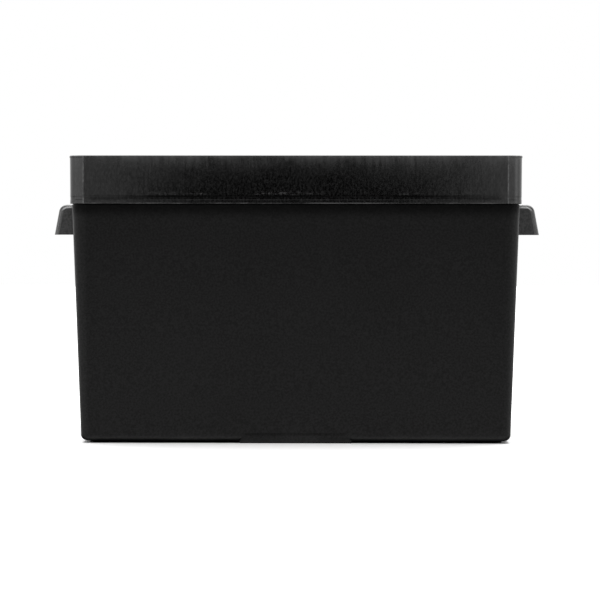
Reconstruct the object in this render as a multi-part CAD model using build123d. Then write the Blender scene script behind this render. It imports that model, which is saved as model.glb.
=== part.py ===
"""Chip rack box: a moulded tub with two pocket grips, a slip-over lid, and twenty lift-out
100-chip racks that fill the tub four across and five high.

Millimetres, +Z up. The front of the box faces -Y and the grips are on the -X and +X ends.
The origin is at the centre of the footprint, on the surface that the box stands on.
"""

from build123d import *

import os
from math import radians, sqrt, tan

# ---------------------------------------------------------------- chips and racks
CHIP_DIAMETER = 39.0
CHIP_THICKNESS = 3.35
CHIPS_PER_ROW = 20
ROWS_PER_RACK = 5
COLUMNS = "abcd"
LEVELS = 5

ROW_PITCH = CHIP_DIAMETER + 2.0
TROUGH_RADIUS = CHIP_DIAMETER / 2 + 0.5
TROUGH_SKIN = 2.0
ROW_LENGTH = CHIPS_PER_ROW * CHIP_THICKNESS + 2.0
END_PLATE = 2.6
SIDE_PLATE = 2.2
RACK_LENGTH = ROWS_PER_RACK * ROW_PITCH + 2 * SIDE_PLATE
PLATE_SPAN = ROW_LENGTH + 2 * END_PLATE
RACK_WIDTH = 81.0
RACK_PITCH_X = RACK_WIDTH + 1.0
STACK_PITCH = 42.0
AXIS_HEIGHT = TROUGH_RADIUS + TROUGH_SKIN
CUSP_HEIGHT = 16.0
SIDE_PLATE_HEIGHT = 27.0
FLANGE_HEIGHT = 24.0
FLANGE_THICKNESS = 2.2
SCALLOP_RADIUS = 16.0
SCALLOP_RISE = 2.0
LIP_HEIGHT = 1.5
LIP_THICKNESS = 1.2
LIP_PLAY = 0.15
STACK_PLAY = 0.05
RACK_CORNER = 3.0

# ---------------------------------------------------------------- tub
FOOT_HEIGHT = 1.8
SHOULDER_Z = 192.0
RIM_Z = 199.0
DRAFT = tan(radians(2.1))
TUB_TOP_HALF_X = 180.15
TUB_TOP_HALF_Y = 120.4
TUB_CORNER = 12.4
TUB_BOTTOM_CORNER = 6.0
INNER_BOTTOM_CORNER = 5.0
WALL = 3.5
FLOOR = 3.0
BOTTOM_RADIUS = 5.0
INNER_BOTTOM_RADIUS = 4.0
SHOULDER_RADIUS = 0.3
RIM_CHAMFER = 0.35

FLOOR_TOP = FOOT_HEIGHT + FLOOR
TUB_HEIGHT = SHOULDER_Z - FOOT_HEIGHT

LOCATING_RIB = 4.5
LOCATING_RIB_HEIGHT = 4.0
LOCATING_RIB_LENGTH = 190.0
OUTER_RIB_X = 163.0

RING_INSET = 6.5
RING_WIDTH = 3.0
RING_CORNER = 6.5
TAB_HALF_BOTTOM = 45.0
TAB_HALF_TOP = 39.7
TAB_TOP_Z = 8.7
TAB_INSET = 0.6
GATE_RADIUS = 5.0
GATE_DEPTH = 0.5

# ---------------------------------------------------------------- pocket grips
GRIP_TOP_Z = 192.6
GRIP_BOTTOM_Z = 167.75
GRIP_REACH_X = 200.4
GRIP_SLOPE = tan(radians(10.7))
GRIP_HALF_WIDTH = 54.0
GRIP_SKIN = 2.6
GRIP_NOSE_RADIUS = 6.6
GRIP_EDGE_RADIUS = 2.3

# ---------------------------------------------------------------- lid
LID_LOW_Z = 192.75
LID_TOP_Z = 231.25
LID_HALF_X = 181.75
LID_HALF_Y = 122.0
LID_CORNER = 11.85
LID_TAPER = 0.2
LID_SKIRT = 1.9
LID_PLAY = 0.25
LID_PANEL = 2.5
BAND_HEIGHT = 5.3
BAND_INSET = 0.1
HEM_HEIGHT = 2.9
HEM_CHAMFER = 0.2
STEP_RUN = 0.3
BEAD_HEIGHT = 1.9
BEAD_PROUD = 0.3
BEAD_CHAMFER = 0.4
RECESS_DEPTH = 2.0
RECESS_BORDER = 4.6
SEAM_WIDTH = 0.6
SEAM_PROUD = 0.18
LID_RIB = 1.6
LID_RIB_HEIGHT = 4.0
LID_RIB_XS = (-90.0, 0.0, 90.0)
LID_RIB_YS = (-40.0, 40.0)
REST_PLAY = 0.05
GUSSET_DEPTH = 6.0
GUSSET_XS = (-135.0, -45.0, 45.0, 135.0)
GUSSET_YS = (-80.0, 0.0, 80.0)

# The lid's bore and the rim that it slips over, measured in from the lid's widest outline.
BORE_INSET = LID_TAPER + BAND_INSET + LID_SKIRT
RIM_INSET = BORE_INSET + LID_PLAY

# Room for an overlap that a union or a cut needs to be clean.
BITE = 1.0


def slab(half_x, half_y, corner, low, high):
    """A straight-sided rounded block between two heights."""
    outline = Plane.XY.offset(low) * RectangleRounded(2 * half_x, 2 * half_y, corner)
    return extrude(outline, high - low)


def stacked(half_x, half_y, corner, profile):
    """A rounded block whose sides follow (height, outset) steps from the bottom up."""
    rings = []
    for height, outset in profile:
        outline = RectangleRounded(
            2 * (half_x + outset), 2 * (half_y + outset), corner + outset
        )
        rings.append(Plane.XY.offset(height) * outline)
    return loft(rings, ruled=True)


def tapered(half_x, half_y, corners, low, high, spread):
    """A rounded block whose sides lean out by spread, with a corner radius for each end."""
    bottom = Plane.XY.offset(low) * RectangleRounded(2 * half_x, 2 * half_y, corners[0])
    top = Plane.XY.offset(high) * RectangleRounded(
        2 * (half_x + spread), 2 * (half_y + spread), corners[1]
    )
    return loft([bottom, top], ruled=True)


def block(low, high):
    """A box from its lowest corner to its highest."""
    size = [high[i] - low[i] for i in range(3)]
    return Pos(*low) * Box(*size, align=(Align.MIN, Align.MIN, Align.MIN))


def both_ends(shape, mirror_plane):
    """A shape and its mirror image."""
    return shape + mirror(shape, mirror_plane)


# ---------------------------------------------------------------- tub pieces
def tub_shell():
    """The solid outside of the tub: drafted walls, shoulder for the lid, and locating rim."""
    spread = TUB_HEIGHT * DRAFT
    walls = tapered(
        TUB_TOP_HALF_X - spread,
        TUB_TOP_HALF_Y - spread,
        (TUB_BOTTOM_CORNER, TUB_CORNER),
        FOOT_HEIGHT,
        SHOULDER_Z,
        spread,
    )
    walls = fillet(walls.edges().group_by(Axis.Z)[0], BOTTOM_RADIUS)
    walls = fillet(walls.edges().group_by(Axis.Z)[-1], SHOULDER_RADIUS)
    rim = slab(
        LID_HALF_X - RIM_INSET,
        LID_HALF_Y - RIM_INSET,
        LID_CORNER - RIM_INSET,
        SHOULDER_Z - BITE,
        RIM_Z,
    )
    rim = chamfer(rim.edges().group_by(Axis.Z)[-1], RIM_CHAMFER)
    return walls + rim


def tub_cavity():
    """The space inside the tub's walls, open at the rim."""
    high = RIM_Z + BITE
    half_x = TUB_TOP_HALF_X - WALL - (SHOULDER_Z - FLOOR_TOP) * DRAFT
    half_y = TUB_TOP_HALF_Y - WALL - (SHOULDER_Z - FLOOR_TOP) * DRAFT
    spread = (SHOULDER_Z - FLOOR_TOP) * DRAFT
    corner = TUB_CORNER - WALL
    cavity = tapered(
        half_x, half_y, (INNER_BOTTOM_CORNER, corner), FLOOR_TOP, SHOULDER_Z, spread
    )
    cavity = fillet(cavity.edges().group_by(Axis.Z)[0], INNER_BOTTOM_RADIUS)
    mouth = slab(half_x + spread, half_y + spread, corner, SHOULDER_Z - BITE, high)
    return cavity + mouth


def grip():
    """One pocket grip on the +X end: a curled shelf, closed at both sides and open below."""
    nose_x = GRIP_REACH_X - (GRIP_TOP_Z - GRIP_BOTTOM_Z) * GRIP_SLOPE
    root_x = TUB_TOP_HALF_X - WALL / 2 - (SHOULDER_Z - GRIP_BOTTOM_Z) * DRAFT
    outer = Polygon(
        (root_x, GRIP_BOTTOM_Z),
        (GRIP_REACH_X, GRIP_BOTTOM_Z),
        (nose_x, GRIP_TOP_Z),
        (root_x, GRIP_TOP_Z),
        align=None,
    )
    outer = fillet(outer.vertices().sort_by(Axis.Y).sort_by(Axis.X)[-2:-1], GRIP_NOSE_RADIUS)
    lean = sqrt(1 + GRIP_SLOPE**2)
    inner_reach = GRIP_REACH_X - GRIP_SKIN * lean
    inner_top = GRIP_TOP_Z - GRIP_SKIN
    inner_nose = inner_reach - (inner_top - GRIP_BOTTOM_Z) * GRIP_SLOPE
    inner = Polygon(
        (root_x - BITE, GRIP_BOTTOM_Z - BITE),
        (inner_reach + BITE * GRIP_SLOPE, GRIP_BOTTOM_Z - BITE),
        (inner_nose, inner_top),
        (root_x - BITE, inner_top),
        align=None,
    )
    inner = fillet(
        inner.vertices().sort_by(Axis.Y).sort_by(Axis.X)[-2:-1],
        GRIP_NOSE_RADIUS - GRIP_SKIN,
    )
    body = extrude(Plane.XZ * outer, GRIP_HALF_WIDTH, both=True)
    side_faces = body.faces().sort_by(Axis.Y)
    rounded = [
        e
        for face in (side_faces[0], side_faces[-1])
        for e in face.edges()
        if e.center().Z > GRIP_BOTTOM_Z + BITE and e.center().X > root_x + BITE
    ]
    body = fillet(rounded, GRIP_EDGE_RADIUS)
    pocket = extrude(Plane.XZ * inner, GRIP_HALF_WIDTH - GRIP_SKIN, both=True)
    return body - pocket


def foot_tab_outline():
    """The front foot's outline, seen from the front: a low tab with sloping shoulders."""
    return Polygon(
        (-TAB_HALF_BOTTOM, 0),
        (TAB_HALF_BOTTOM, 0),
        (TAB_HALF_BOTTOM, FOOT_HEIGHT),
        (TAB_HALF_TOP, TAB_TOP_Z),
        (-TAB_HALF_TOP, TAB_TOP_Z),
        (-TAB_HALF_BOTTOM, FOOT_HEIGHT),
        align=None,
    )


def foot_ring():
    """The ring under the floor that carries the box."""
    half_x = TUB_TOP_HALF_X - TUB_HEIGHT * DRAFT - RING_INSET
    half_y = TUB_TOP_HALF_Y - TUB_HEIGHT * DRAFT - RING_INSET
    top = FOOT_HEIGHT + BITE
    outer = slab(half_x, half_y, RING_CORNER, 0, top)
    inner = slab(
        half_x - RING_WIDTH, half_y - RING_WIDTH, RING_CORNER - RING_WIDTH, -BITE, top + BITE
    )
    return outer - inner


def locating_ribs():
    """Low ribs on the floor of the tub that keep each column of racks in its place."""
    ribs = Part()
    inner_xs = [RACK_PITCH_X * step for step in (-1, 0, 1)]
    for x in [-OUTER_RIB_X, *inner_xs, OUTER_RIB_X]:
        rib = block(
            (x - LOCATING_RIB / 2, -LOCATING_RIB_LENGTH / 2, FLOOR_TOP - BITE),
            (x + LOCATING_RIB / 2, LOCATING_RIB_LENGTH / 2, FLOOR_TOP + LOCATING_RIB_HEIGHT),
        )
        ribs += fillet(rib.edges().group_by(Axis.Z)[-1], 1.0)
    return ribs


def tub():
    face_y = TUB_TOP_HALF_Y - TUB_HEIGHT * DRAFT - TAB_INSET + TAB_TOP_Z * DRAFT
    ring_y = TUB_TOP_HALF_Y - TUB_HEIGHT * DRAFT - RING_INSET - RING_WIDTH / 2
    outline = foot_tab_outline()
    tab = Pos(0, -ring_y, 0) * extrude(Plane.XZ * outline, face_y - ring_y)
    relief = Pos(0, -face_y, 0) * extrude(Plane.XZ * outline, BOTTOM_RADIUS)
    body = tub_shell() + both_ends(grip(), Plane.YZ) + foot_ring()
    body = body + both_ends(tab, Plane.XZ) - both_ends(relief, Plane.XZ)
    body = body - tub_cavity() + locating_ribs()
    gate = Pos(0, 0, FOOT_HEIGHT) * Cylinder(GATE_RADIUS, 2 * GATE_DEPTH)
    return body - gate


# ---------------------------------------------------------------- lid pieces
def lid_outside():
    """The lid's outside: a hemmed edge, an inset band, the plain face, and a top bead."""
    band_top = LID_LOW_Z + BAND_HEIGHT
    bead_low = LID_TOP_Z - BEAD_HEIGHT
    band_outset = -LID_TAPER - BAND_INSET
    profile = [
        (LID_LOW_Z, -LID_TAPER - HEM_CHAMFER),
        (LID_LOW_Z + HEM_CHAMFER, -LID_TAPER),
        (LID_LOW_Z + HEM_HEIGHT, -LID_TAPER),
        (LID_LOW_Z + HEM_HEIGHT + STEP_RUN, band_outset),
        (band_top, band_outset),
        (band_top + STEP_RUN, -LID_TAPER),
        (bead_low, 0),
        (bead_low + STEP_RUN, BEAD_PROUD),
        (LID_TOP_Z - BEAD_CHAMFER, BEAD_PROUD),
        (LID_TOP_Z, BEAD_PROUD - BEAD_CHAMFER),
    ]
    return stacked(LID_HALF_X, LID_HALF_Y, LID_CORNER, profile)


def lid_seams():
    """Thin raised lines where the two mould slides met, at the ends of the front and back faces."""
    band_top = LID_LOW_Z + BAND_HEIGHT
    bead_low = LID_TOP_Z - BEAD_HEIGHT
    skin = tapered(
        LID_HALF_X - LID_TAPER + SEAM_PROUD,
        LID_HALF_Y - LID_TAPER + SEAM_PROUD,
        (LID_CORNER, LID_CORNER),
        band_top,
        bead_low,
        LID_TAPER,
    )
    seam_x = LID_HALF_X - LID_CORNER
    seam_y = LID_HALF_Y - LID_SKIRT / 2
    seams = Part()
    for side_x in (-1, 1):
        for side_y in (-1, 1):
            centre = Pos(side_x * seam_x, side_y * seam_y, (band_top + bead_low) / 2)
            strip = centre * Box(SEAM_WIDTH, 2 * LID_SKIRT, bead_low - band_top)
            seams += strip & skin
    return seams


def lid_ribs():
    """A grid of stiffening ribs under the panel, and gussets that rest on the tub's rim."""
    half_x = LID_HALF_X - BORE_INSET
    half_y = LID_HALF_Y - BORE_INSET
    high = LID_TOP_Z - RECESS_DEPTH - LID_PANEL / 2
    low = LID_TOP_Z - RECESS_DEPTH - LID_PANEL - LID_RIB_HEIGHT
    rest = RIM_Z + REST_PLAY
    half = LID_RIB / 2
    ribs = Part()
    for x in LID_RIB_XS:
        ribs += block((x - half, -half_y - half, low), (x + half, half_y + half, high))
    for y in LID_RIB_YS:
        ribs += block((-half_x - half, y - half, low), (half_x + half, y + half, high))
    for x in GUSSET_XS:
        gusset = block((x - half, half_y - GUSSET_DEPTH, rest), (x + half, half_y + half, high))
        ribs += both_ends(gusset, Plane.XZ)
    for y in GUSSET_YS:
        gusset = block((half_x - GUSSET_DEPTH, y - half, rest), (half_x + half, y + half, high))
        ribs += both_ends(gusset, Plane.YZ)
    return ribs


def lid():
    panel_low = LID_TOP_Z - RECESS_DEPTH - LID_PANEL
    cavity = slab(
        LID_HALF_X - BORE_INSET,
        LID_HALF_Y - BORE_INSET,
        LID_CORNER - BORE_INSET,
        LID_LOW_Z - BITE,
        panel_low,
    )
    cavity = fillet(cavity.edges().group_by(Axis.Z)[-1], 2.0)
    recess = slab(
        LID_HALF_X - RECESS_BORDER,
        LID_HALF_Y - RECESS_BORDER,
        LID_CORNER - RECESS_BORDER,
        LID_TOP_Z - RECESS_DEPTH,
        LID_TOP_Z + BITE,
    )
    recess = fillet(recess.edges().group_by(Axis.Z)[0], 1.0)
    gate = Pos(0, 0, LID_TOP_Z - RECESS_DEPTH) * Cylinder(GATE_RADIUS, 2 * GATE_DEPTH)
    return lid_outside() + lid_seams() - cavity + lid_ribs() - recess - gate


# ---------------------------------------------------------------- racks
def row_centres():
    """Where each row of chips lies along Y, measured from the rack's middle."""
    middle = (ROWS_PER_RACK - 1) / 2
    return [(row - middle) * ROW_PITCH for row in range(ROWS_PER_RACK)]


def trough_floor():
    """The fluted sheet that the chips lie in, seen along the rows."""
    sheet = Sketch()
    for y in row_centres():
        sheet += Pos(y, AXIS_HEIGHT) * Circle(TROUGH_RADIUS + TROUGH_SKIN)
    keep = Pos(0, CUSP_HEIGHT / 2) * Rectangle(RACK_LENGTH - 2 * SIDE_PLATE + BITE, CUSP_HEIGHT)
    sheet &= keep
    for y in row_centres():
        sheet -= Pos(y, AXIS_HEIGHT) * Circle(TROUGH_RADIUS)
    return sheet


def end_plate_outline():
    """The plate across the ends of the rows, with a scallop over each row to show the chips."""
    height = STACK_PITCH - STACK_PLAY
    outline = Pos(0, height / 2) * Rectangle(RACK_LENGTH, height)
    for y in row_centres():
        outline -= Pos(y, STACK_PITCH + SCALLOP_RISE) * Circle(SCALLOP_RADIUS)
    return outline


def rack():
    """One 100-chip rack, standing on z = 0 at the origin, with its rows along X."""
    across = Plane.YZ
    half_row = ROW_LENGTH / 2
    half_span = PLATE_SPAN / 2
    floor = extrude(across * trough_floor(), half_row + END_PLATE / 2, both=True)
    outline = end_plate_outline()
    plate = Pos(half_row, 0, 0) * extrude(across * outline, END_PLATE)
    lip = Pos(half_span - LIP_THICKNESS, 0, LIP_HEIGHT) * extrude(across * outline, LIP_THICKNESS)
    rebate = block(
        (half_span - LIP_THICKNESS - LIP_PLAY, -RACK_LENGTH, -BITE),
        (half_span + BITE, RACK_LENGTH, LIP_HEIGHT + LIP_PLAY),
    )
    side = block(
        (-half_row - BITE, RACK_LENGTH / 2 - SIDE_PLATE, 0),
        (half_row + BITE, RACK_LENGTH / 2, SIDE_PLATE_HEIGHT),
    )
    tray = floor + both_ends(plate + lip - rebate, Plane.YZ) + both_ends(side, Plane.XZ)
    tray = tray & slab(half_span, RACK_LENGTH / 2, RACK_CORNER, 0, STACK_PITCH + LIP_HEIGHT)
    flange = block(
        (half_span - END_PLATE / 2, -RACK_LENGTH / 2 + RACK_CORNER, FLANGE_HEIGHT),
        (RACK_WIDTH / 2, RACK_LENGTH / 2 - RACK_CORNER, FLANGE_HEIGHT + FLANGE_THICKNESS),
    )
    flange = fillet(flange.edges().filter_by(Axis.Z).sort_by(Axis.X)[-2:], RACK_CORNER)
    return tray + both_ends(flange, Plane.YZ)


def rack_place(column, level):
    """Where a rack stands in the tub: column counts from -X, level from the floor."""
    x = (column - (len(COLUMNS) - 1) / 2) * RACK_PITCH_X
    return Pos(x, 0, FLOOR_TOP + STACK_PLAY + level * STACK_PITCH)


def main():
    os.makedirs("parts", exist_ok=True)
    export_step(tub(), "parts/tub.step")
    export_step(lid(), "parts/lid.step")
    one_rack = rack()
    for column, letter in enumerate(COLUMNS):
        for level in range(LEVELS):
            placed = rack_place(column, level) * one_rack
            export_step(placed, f"parts/chip_rack_{letter}{level + 1}.step")


main()
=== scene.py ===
"""The chip rack box on a white studio floor: moulded plastics, soft light and the camera.

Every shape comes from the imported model. This script gives the shapes their plastics, and sets
the stage, the lights and the camera. Lengths are in metres, in the model's own frame.
"""

import math

import bpy
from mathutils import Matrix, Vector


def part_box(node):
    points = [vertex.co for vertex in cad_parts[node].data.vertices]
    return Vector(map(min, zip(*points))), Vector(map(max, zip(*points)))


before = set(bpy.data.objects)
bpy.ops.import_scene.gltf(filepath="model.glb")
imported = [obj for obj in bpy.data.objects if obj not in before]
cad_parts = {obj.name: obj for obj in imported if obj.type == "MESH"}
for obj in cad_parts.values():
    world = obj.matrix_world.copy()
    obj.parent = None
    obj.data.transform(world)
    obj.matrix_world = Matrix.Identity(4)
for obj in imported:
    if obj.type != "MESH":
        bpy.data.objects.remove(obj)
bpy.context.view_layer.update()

_, TUB_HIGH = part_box("tub")
LID_LOW, LID_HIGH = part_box("lid")
MM = 0.001

# A pair is where a change begins and where it ends, except in TUB_BASE, which is two sizes.

# ---------------------------------------------------------------- places on the lid
# Heights above the lid's lower edge: the rolled hem, and the step above it.
LID_HEM = 2.9 * MM
LID_STEP = 5.3 * MM

# Heights above the step: the recessed band's upper edge, and the middle of the groove's painted
# shade. Then the half heights of that painted shade and of the scratches, which lie just above
# the step.
RECESS = (3.5 * MM, -1.0 * MM)
GROOVE_RISE = 0.5 * MM
GROOVE_HALF = 1.4 * MM
SCRATCH_HALF = 2.6 * MM

# Distances from the middle along X. The front is flat between the seams, and its dark middle
# has a scratched centre. The skirt's ends and its front and back are past SKIRT_X and SKIRT_Y.
SEAM_X = 169.9 * MM
SEAM_HALF = 0.9 * MM
FLAT_X = (160.0 * MM, 169.0 * MM)
MIDDLE_X = (100.0 * MM, 155.0 * MM)
CENTRE_X = (50.0 * MM, 120.0 * MM)
SKIRT_X = (178.0 * MM, 179.0 * MM)
SKIRT_Y = (118.0 * MM, 119.0 * MM)

# Rough hazy skin with a painted sheen on the lid's upper edge: how deep it fades, how pale the
# painted sheen is at the very top, and where it thins out towards the left end.
HAZE_AND_SHEEN_DEPTH = 5.5 * MM
SHEEN_GREY = 0.034
HAZE_AND_SHEEN_LEFT = (-170.0 * MM, -100.0 * MM)

# ---------------------------------------------------------------- places on the tub
# The walls end under the lid's edge, at the shoulder. TUB_BASE is half the footprint's sizes.
TUB_SHOULDER = 192.0 * MM
TUB_BASE = (173.2 * MM, 113.4 * MM)

# Rubbed bands near the ground and near the rim, and the band of painted shadow under the lid's
# edge.
RUB_LOW = (1.0 * MM, 14.0 * MM)
RUB_HIGH = 6.0 * MM
UNDER_LID = 16.0 * MM

# The wall grows paler from the first height down to the second.
WALL_FADE = (170.0 * MM, 10.0 * MM)

# The foot tab's half length and top, the depths of the painted shadow below that top, and the
# foot ring, which is past FOOT_RING_X and is painted dark as shade.
TAB_HALF = 40.5 * MM
TAB_TOP = 8.7 * MM
TAB_SHADE_START = 0.6 * MM
TAB_SHADE = (4.0 * MM, 1.0 * MM)
FOOT_RING_X = (45.0 * MM, 45.4 * MM)
FOOT_RING_TOP = (1.9 * MM, 1.6 * MM)

# The grips' outline seen from the front: its lowest point outwards, how it leans in, and how
# round its upper corner is. The grips run from GRIP_ROOT outwards and GRIP_END to each side.
GRIP_ROOT = (180.3 * MM, 181.5 * MM)
GRIP_REACH = 200.4 * MM
GRIP_LOW = 167.75 * MM
GRIP_HIGH = 192.6 * MM
GRIP_SLOPE = 0.189
GRIP_CORNER = 7.0 * MM
GRIP_END = 54.0 * MM

# Parts of the grips measured inwards, from the outer side, the top and the ends: a painted
# highlight lies along the outer side and the top, and grows towards the ends, where the grips
# also shine more.
GRIP_STRIP = (4.1 * MM, 3.3 * MM)
GRIP_CROWN = (2.9 * MM, 2.1 * MM)
GRIP_TIP = (6.0 * MM, 1.0 * MM)

# The painted highlight's arc round the corner, as parts of GRIP_CORNER from the corner's centre.
NOSE_MIDDLE = 0.71
NOSE_HALF = 0.17

# ---------------------------------------------------------------- camera and light
# Camera: a long lens, level with the upper part of the tub.
CAMERA_DISTANCE = 2.10
CAMERA_HEIGHT = 0.168
CAMERA_SIDE = 0.024
CAMERA_PITCH = math.radians(1.515)
CAMERA_TURN = math.radians(0.992)
CAMERA_ROLL = math.radians(-0.042)
CAMERA_LENS = 148.4
CAMERA_SHIFT = 0.029
SENSOR_WIDTH = 36.0

# The surround in reflections, by direction: edges and reaches are parts of a unit vector. Ahead
# is dark, to FRONT_EDGE on each side of a middle that is FRONT_SHIFT off. Then come pale panels,
# up to PANEL_REACH above and below the horizon, which run into white walls.
FRONT_LIGHT = 0.02
PANEL_LIGHT = 0.70
SIDE_LIGHT = 1.6
FRONT_EDGE = 0.055
FRONT_SHIFT = 0.008
PANEL_START = 1.5 * FRONT_EDGE
WALL_START = 0.30
PANEL_REACH = 0.5

# The right-hand side is stronger, falls off beyond the panel and comes back far out. Each row
# of four is from, to, the gain at from and the gain at to.
RIGHT_GAIN = 1.3
RIGHT_START = 0.08
RIGHT_FALL = (0.16, 0.30, 1.0, 0.50)
RIGHT_RISE = (0.75, 0.97, 1.0, 1.9)

# Along Y, only the back light counts above the first of these, and only what is ahead counts
# below the second.
AHEAD = (0.1, -0.3)
BACK_LIGHT = 1.1

# A strip hangs high in front of the middle. The panels fade below the horizon down to
# FLOOR_LINE, where the floor's own glow takes over.
STRIP_LIGHT = 3.0
STRIP_HEIGHT = 0.70
STRIP_DEPTH = 0.16
STRIP_REACH = 0.35
FLOOR_LINE = -0.45
FLOOR_GLOW = 1.0
FLOOR_GLOW_SPAN = (-0.15, -0.60)

# The floor: half its size, its own light, and how far in under the tub that light stops, which
# leaves a painted shadow.
FLOOR_HALF = 6.0
FLOOR_EMISSION = 0.36
FLOOR_SHADE = (-1.6 * MM, -0.4 * MM)

# The overhead light: how strong, how wide, and how far it leans from behind.
OVERHEAD_LIGHT = 2.7
OVERHEAD_WIDTH = math.radians(70.0)
OVERHEAD_LEAN = math.radians(18.0)

# Most of a noise texture's values lie between these.
NOISE = (0.3, 0.7)


# ---------------------------------------------------------------- shader building
class Graph:
    """A node tree that is built one node at a time."""

    def __init__(self, tree, place):
        self.tree = tree
        self.tree.nodes.clear()
        self.place = self.tree.nodes.new("ShaderNodeTexCoord").outputs[place]
        split = self.tree.nodes.new("ShaderNodeSeparateXYZ")
        self.tree.links.new(self.place, split.inputs[0])
        self.x, self.y, self.z = split.outputs

    def put(self, socket, value):
        """Sets an input to a number, a colour or another node's output."""
        if isinstance(value, bpy.types.NodeSocket):
            self.tree.links.new(value, socket)
        else:
            socket.default_value = value

    def math(self, operation, a, b=0.0):
        node = self.tree.nodes.new("ShaderNodeMath")
        node.operation = operation
        self.put(node.inputs[0], a)
        self.put(node.inputs[1], b)
        return node.outputs[0]

    def add(self, a, b):
        return self.math("ADD", a, b)

    def minus(self, a, b):
        return self.math("SUBTRACT", a, b)

    def size(self, value):
        """value without its sign."""
        return self.math("ABSOLUTE", value)

    def times(self, *values):
        result = values[0]
        for value in values[1:]:
            result = self.math("MULTIPLY", result, value)
        return result

    def highest(self, *values):
        result = values[0]
        for value in values[1:]:
            result = self.math("MAXIMUM", result, value)
        return result

    def remap(self, value, low, high, out_low=0.0, out_high=1.0, smooth=True):
        """value from low..high to out_low..out_high, held at the ends."""
        node = self.tree.nodes.new("ShaderNodeMapRange")
        node.interpolation_type = "SMOOTHSTEP" if smooth else "LINEAR"
        for socket, number in zip(node.inputs, (value, low, high, out_low, out_high)):
            self.put(socket, number)
        return node.outputs[0]

    def between(self, amount, at_0, at_1):
        """at_0 where amount is 0, and at_1 where it is 1."""
        return self.remap(amount, 0.0, 1.0, at_0, at_1)

    def band(self, value, middle, half_width):
        """1 at middle, falling smoothly to 0 at half_width on either side."""
        return self.remap(self.size(self.minus(value, middle)), 0.0, half_width, 1.0, 0.0)

    def stretch(self, scale):
        """The object's coordinates, scaled along each axis."""
        node = self.tree.nodes.new("ShaderNodeMapping")
        node.inputs["Scale"].default_value = scale
        self.put(node.inputs["Vector"], self.place)
        return node.outputs[0]

    def noise(self, scale, detail=2.0, roughness=0.5):
        """Noise with one scale, or with a scale for each axis."""
        even = isinstance(scale, float)
        node = self.tree.nodes.new("ShaderNodeTexNoise")
        self.put(node.inputs["Vector"], self.place if even else self.stretch(scale))
        node.inputs["Scale"].default_value = scale if even else 1.0
        node.inputs["Detail"].default_value = detail
        node.inputs["Roughness"].default_value = roughness
        return node.outputs[0]

    def blend(self, amount, a, b):
        """Colour a where amount is 0 and colour b where it is 1."""
        node = self.tree.nodes.new("ShaderNodeMix")
        node.data_type = "RGBA"
        self.put(node.inputs[0], amount)
        self.put(node.inputs[6], a)
        self.put(node.inputs[7], b)
        return node.outputs[2]

    def tint(self, colour, factor):
        """colour made factor times as bright."""
        node = self.tree.nodes.new("ShaderNodeVectorMath")
        node.operation = "SCALE"
        self.put(node.inputs[0], colour)
        self.put(node.inputs["Scale"], factor)
        return node.outputs[0]

    def bump(self, height, strength, distance, below=None):
        node = self.tree.nodes.new("ShaderNodeBump")
        node.inputs["Strength"].default_value = strength
        node.inputs["Distance"].default_value = distance
        self.put(node.inputs["Height"], height)
        if below is not None:
            self.put(node.inputs["Normal"], below)
        return node.outputs[0]


class Shader(Graph):
    """One procedural material around a Principled shader."""

    def __init__(self, name):
        self.material = bpy.data.materials.new(name)
        self.material.use_nodes = True
        super().__init__(self.material.node_tree, "Object")
        output = self.tree.nodes.new("ShaderNodeOutputMaterial")
        self.surface = self.tree.nodes.new("ShaderNodeBsdfPrincipled")
        self.tree.links.new(self.surface.outputs["BSDF"], output.inputs["Surface"])

    def finish(self, **inputs):
        """Fills in the surface's inputs, with spaces written as underscores."""
        for name, value in inputs.items():
            self.put(self.surface.inputs[name.replace("_", " ")], value)
        return self.material


def grey(level, warmth=0.0):
    """A grey as RGBA, with a little more red than blue if warmth is above 0."""
    return (level * (1 + warmth), level, level * (1 - warmth), 1.0)


# ---------------------------------------------------------------- the tub's plastic
def grip_inset(s, aside):
    """How far in from the grips' sloping outer side a point is, along X."""
    lean = s.times(s.minus(GRIP_LOW, s.z), GRIP_SLOPE)
    return s.minus(s.add(GRIP_REACH, lean), aside)


def grip_strip_highlight(s, inset, grip, tip):
    """Where the grips' outer strip and top edge get a painted highlight."""
    outer = s.remap(inset, *GRIP_STRIP)
    upper = s.remap(s.z, GRIP_HIGH - GRIP_CROWN[0], GRIP_HIGH - GRIP_CROWN[1])
    return s.times(s.highest(s.times(outer, 0.45), upper), grip, s.between(tip, 0.2, 1.0))


def grip_nose_highlight(s, inset, grip):
    """The painted highlight: an arc that follows the grips' rounded upper corner, and fades
    along the top.
    """
    out = s.minus(1.0, s.math("DIVIDE", inset, GRIP_CORNER))
    up = s.minus(1.0, s.math("DIVIDE", s.minus(GRIP_HIGH, s.z), GRIP_CORNER))
    corner_x, corner_z = s.highest(0.0, out), s.highest(0.0, up)
    corner = s.math("SQRT", s.add(s.times(corner_x, corner_x), s.times(corner_z, corner_z)))
    fade = s.times(s.remap(out, -1.2, 0.0, 0.25, 1.0), s.remap(up, 0.15, 0.65))
    return s.times(s.band(corner, NOSE_MIDDLE, NOSE_HALF), fade, grip)


def wall_fade_and_shade(s, aside, ring):
    """The wall's brightness: paler downwards, with painted shadow below the tab's top and
    painted shade on the foot ring.
    """
    # Painted shadow below the tab's top edge.
    tab = s.times(
        s.remap(aside, TAB_HALF + 1.0 * MM, TAB_HALF - 1.0 * MM),
        s.remap(s.z, TAB_TOP, TAB_TOP - TAB_SHADE_START),
        s.remap(s.z, TAB_TOP - TAB_SHADE[0], TAB_TOP - TAB_SHADE[1]),
    )
    bright = s.remap(s.z, *WALL_FADE, 1.0, 1.35, smooth=False)
    return s.times(bright, s.between(tab, 1.0, 0.72), s.between(ring, 1.0, 0.05))


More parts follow.
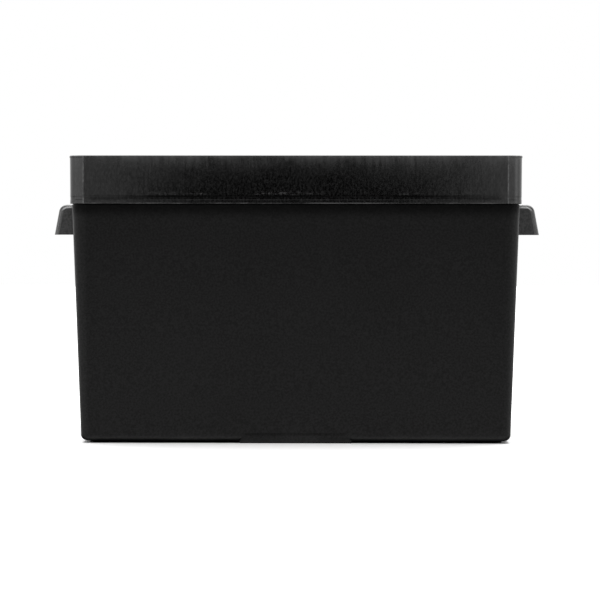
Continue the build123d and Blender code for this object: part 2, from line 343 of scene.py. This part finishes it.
def tub_plastic():
    """Black polypropylene with a fine spark-eroded texture, paler where it is rubbed, with
    painted highlights on the grips and painted shade under the lid's edge, at the shoulder,
    below the tab's top and on the foot ring.
    """
    s = Shader("tub_textured_black")
    mottle = s.noise(14.0, 3.0, 0.6)
    grain = s.noise(620.0, 2.0, 0.6)
    peel = s.noise(260.0)
    rub_noise = s.noise((30.0, 30.0, 90.0), 4.0, 0.65)
    aside = s.size(s.x)
    near_base = s.remap(s.z, *RUB_LOW, 1.0, 0.0)
    near_rim = s.remap(s.z, TUB_HIGH.z - RUB_HIGH, TUB_HIGH.z, 0.0, 0.6)
    rub = s.times(s.highest(near_base, near_rim), s.remap(rub_noise, 0.42, 0.68))
    grip = s.remap(aside, *GRIP_ROOT)
    tip = s.remap(s.size(s.y), GRIP_END - GRIP_TIP[0], GRIP_END - GRIP_TIP[1])
    inset = grip_inset(s, aside)
    strip_highlight = grip_strip_highlight(s, inset, grip, tip)
    nose_highlight = grip_nose_highlight(s, inset, grip)
    # The foot ring, painted near black as shade in the gap under the tub.
    ring = s.times(s.remap(s.z, *FOOT_RING_TOP), s.remap(aside, *FOOT_RING_X))
    bright = wall_fade_and_shade(s, aside, ring)
    # Painted shadow: the shoulder goes near black in the gap under the lid's edge, away from the
    # grips.
    lid_gap_shadow = s.remap(s.z, TUB_SHOULDER - 0.2 * MM, TUB_SHOULDER)
    lid_gap_shadow = s.times(lid_gap_shadow, s.between(grip, 1.0, 0.0))
    # Painted shadow: darker and less shiny in a band under the lid's edge, but not on the grips.
    clear_of_lid_shadow = s.highest(s.remap(s.z, LID_LOW.z, LID_LOW.z - UNDER_LID), grip)

    colour = s.blend(mottle, grey(0.0027, 0.01), grey(0.0038, -0.01))
    colour = s.blend(clear_of_lid_shadow, grey(0.0015), s.tint(colour, bright))
    colour = s.blend(s.times(rub, s.between(ring, 0.2, 0.0)), colour, grey(0.035))
    # Painted highlights on the grips: a pale strip along the outer side and top, and a paler arc
    # round the upper corner.
    colour = s.blend(strip_highlight, colour, grey(0.12))
    colour = s.blend(nose_highlight, colour, grey(0.55))
    colour = s.blend(lid_gap_shadow, colour, grey(0.0002))

    roughness = s.add(s.remap(mottle, *NOISE, 0.40, 0.46), s.times(grip, -0.12))

    left = s.remap(s.x, -TUB_BASE[0], TUB_BASE[0], 1.20, 1.0)
    rubbed = s.times(s.between(tip, 0.10, 0.58), left)
    shine = s.add(s.times(s.between(clear_of_lid_shadow, 0.055, 0.165), bright), s.times(grip, rubbed))
    shine = s.times(shine, s.remap(grain, *NOISE, 0.75, 1.25))

    normal = s.bump(peel, 0.08, 0.20 * MM)
    normal = s.bump(grain, 0.35, 0.06 * MM, normal)
    return s.finish(
        Base_Color=colour, Roughness=roughness, Specular_IOR_Level=shine, Normal=normal
    )


# ---------------------------------------------------------------- the lid's plastic
def lid_haze_and_sheen(s, aside, side_face, streak, cloud):
    """A rough, hazy skin with a painted sheen, hanging down from the skirt's upper edge in
    streaks.
    """
    depth = s.math("DIVIDE", s.minus(LID_HIGH.z, s.z), -HAZE_AND_SHEEN_DEPTH)
    skirt = s.highest(side_face, s.remap(aside, *SKIRT_X))
    return s.times(
        s.math("EXPONENT", depth),
        s.remap(cloud, *NOISE, 0.6, 1.3),
        s.remap(streak, *NOISE, 0.6, 1.4),
        s.remap(s.x, *HAZE_AND_SHEEN_LEFT, 0.55, 1.0),
        s.between(skirt, 0.35, 1.0),
    )


def lid_plastic():
    """Black plastic with a semi-gloss skin: hazed with a painted sheen at the top, scratched
    above the step, scuffed with a painted highlight at the lower edge, with painted highlights
    on the seams and painted shade in the groove.
    """
    s = Shader("lid_semi_gloss_black")
    mottle = s.noise(18.0, 3.0, 0.6)
    dust = s.noise((640.0, 640.0, 330.0), 1.0)
    streak = s.noise((420.0, 420.0, 50.0), 4.0, 0.7)
    cloud = s.noise((28.0, 28.0, 45.0), 3.0, 0.6)
    hair = s.noise((110.0, 110.0, 1500.0), 3.0, 0.7)
    patch = s.noise(16.0)
    dash = s.noise((45.0, 45.0, 200.0), 4.0, 0.65)
    ripple = s.noise(90.0)
    grain = s.noise(1800.0, 1.0)

    above = s.minus(s.z, LID_LOW.z)
    aside = s.size(s.x)
    flat = s.remap(aside, *FLAT_X, 1.0, 0.1)
    middle = s.remap(aside, *MIDDLE_X, 1.0, 0.2)
    centre = s.remap(aside, *CENTRE_X, 0.8, 0.12)
    side_face = s.remap(s.size(s.y), *SKIRT_Y)
    haze_and_sheen = lid_haze_and_sheen(s, aside, side_face, streak, cloud)

    scratch = s.times(
        s.band(above, LID_STEP + SCRATCH_HALF, SCRATCH_HALF),
        centre,
        s.remap(hair, 0.50, 0.62),
        s.remap(patch, 0.44, 0.58),
        s.remap(dust, 0.40, 0.60, 0.2, 1.0),
    )
    # Scratches are wear; the paler hem and its lower edge are partly wear and partly a painted
    # highlight.
    hem = s.remap(above, LID_HEM, 0.8 * LID_HEM)
    edge = s.remap(above, 0.38 * LID_HEM, 0.12 * LID_HEM)
    edge = s.times(edge, s.remap(dash, 0.40, 0.62, 0.2, 1.0))
    wear_and_highlight = s.highest(scratch, s.times(hem, flat, 0.02), s.times(edge, 0.85))
    # Painted highlight along the seams, broken into dashes.
    seam_highlight = s.band(aside, SEAM_X, SEAM_HALF)
    seam_highlight = s.times(seam_highlight, side_face, s.remap(dash, 0.35, 0.6, 0.3, 1.0))
    recess = s.remap(above, LID_STEP + RECESS[0], LID_STEP + RECESS[1])
    recess = s.times(recess, s.between(hem, 1.0, 0.0), flat)
    # Painted shade along the groove above the step: darker and less shiny.
    groove = s.band(above, LID_STEP + GROOVE_RISE, GROOVE_HALF)
    groove = s.times(groove, middle, s.remap(patch, 0.35, 0.55, 0.6, 1.0))

    colour = s.blend(s.remap(dust, 0.38, 0.68), grey(0.0012), grey(0.0078))
    # Painted sheen fading down from the lid's upper edge.
    colour = s.blend(haze_and_sheen, colour, grey(SHEEN_GREY))
    colour = s.blend(s.times(wear_and_highlight, 0.7), colour, grey(0.075))
    colour = s.blend(groove, colour, grey(0.0004))
    colour = s.blend(seam_highlight, colour, grey(0.085))

    roughness = s.add(s.remap(cloud, *NOISE, 0.07, 0.10), s.times(haze_and_sheen, 0.15))
    roughness = s.add(roughness, s.times(wear_and_highlight, 0.25))

    shine = s.times(s.between(groove, 0.5, 0.1), s.between(recess, 1.0, 0.55))
    shine = s.times(shine, s.remap(mottle, *NOISE, 0.92, 1.08))

    normal = s.bump(ripple, 0.10, 0.30 * MM)
    normal = s.bump(streak, 0.12, 0.08 * MM, normal)
    normal = s.bump(grain, 0.10, 0.03 * MM, normal)
    return s.finish(
        Base_Color=colour, Roughness=roughness, Specular_IOR_Level=shine, Normal=normal
    )


# ---------------------------------------------------------------- the racks' plastic
def rack_plastic():
    """Clear moulded acrylic with a faint cool tint and fine rub marks from chips."""
    s = Shader("rack_clear_acrylic")
    hair = s.noise((500.0, 40.0, 500.0), 3.0, 0.6)
    flow = s.noise(25.0)
    return s.finish(
        Base_Color=s.blend(flow, (0.87, 0.91, 0.92, 1.0), (0.82, 0.87, 0.89, 1.0)),
        Roughness=s.remap(hair, 0.45, 0.75, 0.03, 0.16),
        Transmission_Weight=0.90,
        IOR=1.49,
        Normal=s.bump(flow, 0.05, 0.5 * MM),
    )


def give(node, material):
    """Gives a CAD node one material all over."""
    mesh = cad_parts[node].data
    mesh.materials.clear()
    mesh.materials.append(material)
    for polygon in mesh.polygons:
        polygon.material_index = 0


give("tub", tub_plastic())
give("lid", lid_plastic())
clear = rack_plastic()
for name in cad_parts:
    if name.startswith("chip_rack_"):
        give(name, clear)


# ---------------------------------------------------------------- stage
def floor():
    """A white floor that glows a little, except in the gap under the tub, where the missing glow
    is a painted shadow.
    """
    mesh = bpy.data.meshes.new("studio_floor")
    half = FLOOR_HALF
    corners = [(-half, -half, 0), (half, -half, 0), (half, half, 0), (-half, half, 0)]
    mesh.from_pydata(corners, [], [(0, 1, 2, 3)])
    s = Shader("studio_floor_white")
    away_x = s.minus(s.size(s.x), TUB_BASE[0])
    away_y = s.minus(s.size(s.y), TUB_BASE[1])
    clear_of_tub = s.remap(s.highest(away_x, away_y), *FLOOR_SHADE)
    mesh.materials.append(
        s.finish(
            Base_Color=s.blend(s.noise(3.0), grey(0.90), grey(0.92)),
            Roughness=0.9,
            Specular_IOR_Level=0.0,
            Emission_Color=grey(1.0),
            Emission_Strength=s.times(clear_of_tub, FLOOR_EMISSION),
        )
    )
    plane = bpy.data.objects.new("studio_floor", mesh)
    plane.visible_glossy = False
    bpy.context.scene.collection.objects.link(plane)


def surround_strength(s):
    """The surround's light by direction: panels, walls, strip and glow ahead, even behind."""
    aside = s.size(s.add(s.x, FRONT_SHIFT))
    near = s.remap(aside, FRONT_EDGE, PANEL_START, FRONT_LIGHT, PANEL_LIGHT)
    far = s.remap(aside, PANEL_START, WALL_START, 0.0, SIDE_LIGHT - PANEL_LIGHT)
    right = s.remap(s.x, 0.0, RIGHT_START, 1.0, RIGHT_GAIN)
    right = s.times(right, s.remap(s.x, *RIGHT_FALL), s.remap(s.x, *RIGHT_RISE))
    above_floor = s.remap(s.z, FLOOR_LINE, 0.0)
    level = s.times(s.band(s.z, 0.0, PANEL_REACH), above_floor)
    strip = s.times(s.band(s.z, STRIP_HEIGHT, STRIP_DEPTH), s.band(s.x, 0.0, STRIP_REACH))
    glow = s.remap(s.z, *FLOOR_GLOW_SPAN, 0.0, FLOOR_GLOW)
    front = s.times(s.add(near, far), right, level)
    front = s.add(front, s.add(s.times(strip, STRIP_LIGHT), glow))
    ahead = s.remap(s.y, *AHEAD)
    behind = s.times(s.between(ahead, BACK_LIGHT, 0.0), above_floor)
    return s.add(s.times(front, ahead), behind)


def studio_world():
    """A surround that looks white, and lights as white side walls and a dark front would."""
    world = bpy.data.worlds.new("studio_white")
    bpy.context.scene.world = world
    world.use_nodes = True
    s = Graph(world.node_tree, "Generated")
    seen = s.tree.nodes.new("ShaderNodeBackground")
    light = s.tree.nodes.new("ShaderNodeBackground")
    s.put(light.inputs["Strength"], surround_strength(s))
    for background in (seen, light):
        background.inputs["Color"].default_value = grey(1.0)
    path = s.tree.nodes.new("ShaderNodeLightPath")
    mix = s.tree.nodes.new("ShaderNodeMixShader")
    output = s.tree.nodes.new("ShaderNodeOutputWorld")
    s.put(mix.inputs[0], path.outputs["Is Camera Ray"])
    s.put(mix.inputs[1], light.outputs[0])
    s.put(mix.inputs[2], seen.outputs[0])
    s.put(output.inputs["Surface"], mix.outputs[0])


def overhead_diffuser():
    """An endless soft light from above and a little behind, even over the whole floor."""
    data = bpy.data.lights.new("overhead_diffuser", "SUN")
    data.energy = OVERHEAD_LIGHT
    data.angle = OVERHEAD_WIDTH
    lamp = bpy.data.objects.new("overhead_diffuser", data)
    lamp.location = (0.0, 0.0, 2.0)
    lamp.rotation_euler = (-OVERHEAD_LEAN, 0.0, 0.0)
    bpy.context.scene.collection.objects.link(lamp)


def camera():
    """A long lens at the photo's viewing angle."""
    data = bpy.data.cameras.new("camera")
    data.sensor_width = SENSOR_WIDTH
    data.lens = CAMERA_LENS
    data.shift_x = CAMERA_SHIFT
    data.clip_start = 0.1
    data.clip_end = 50.0
    lens = bpy.data.objects.new("camera", data)
    lens.location = (CAMERA_SIDE, -CAMERA_DISTANCE, CAMERA_HEIGHT)
    lens.rotation_euler = (math.pi / 2 - CAMERA_PITCH, CAMERA_ROLL, CAMERA_TURN)
    bpy.context.scene.collection.objects.link(lens)
    bpy.context.scene.camera = lens


floor()
studio_world()
overhead_diffuser()
camera()

view = bpy.context.scene.view_settings
view.view_transform = "Standard"
view.look = "None"
